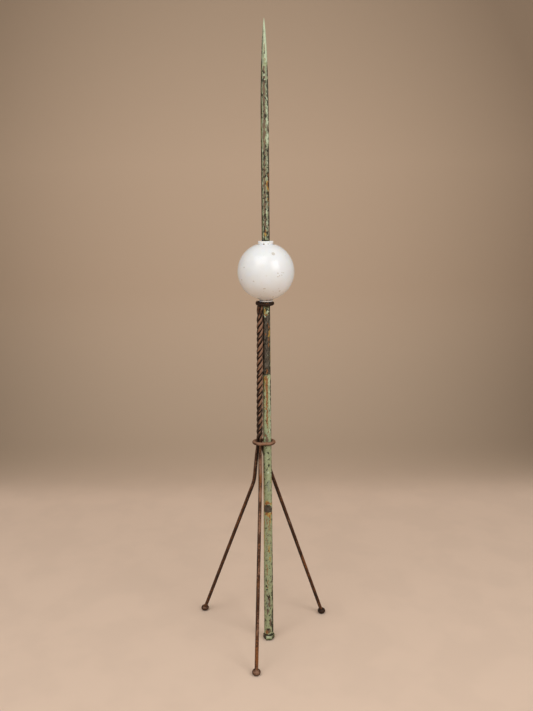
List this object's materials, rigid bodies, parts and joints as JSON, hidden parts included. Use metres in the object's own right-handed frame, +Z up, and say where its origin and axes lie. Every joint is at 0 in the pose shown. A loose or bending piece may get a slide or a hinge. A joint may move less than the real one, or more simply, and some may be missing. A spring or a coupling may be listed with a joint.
{
  "type": "lightning rod with glass ball on a tripod",
  "caption": "Tapered copper lightning rod with a milk-glass ball, standing in a twisted wrought-iron tripod with ball feet.",
  "frame": {"origin": "centre of the underside of the cap at the rod's foot, on the floor", "axes": "+Z up along the rod, -Y towards the front leg, +X to the right seen from the front"},
  "size_m": [0.2951, 0.2667, 1.2925],
  "materials": {
    "verdigris_copper": "matte green and brown patina with rust stains",
    "milk_glass": "opaque white, glossy",
    "rusted_iron": "dark brown rust on wrought bar"
  },
  "bodies": {
    "root": {"rod_point": "verdigris_copper", "upper_rod": "verdigris_copper", "lower_tube": "verdigris_copper", "rod_foot_cap": "verdigris_copper", "glass_ball": "milk_glass", "top_eye": "rusted_iron", "middle_ring": "rusted_iron", "leg_left": "rusted_iron", "leg_front": "rusted_iron", "leg_right": "rusted_iron", "foot_left": "rusted_iron", "foot_front": "rusted_iron", "foot_right": "rusted_iron"}
  },
  "joints": []
}
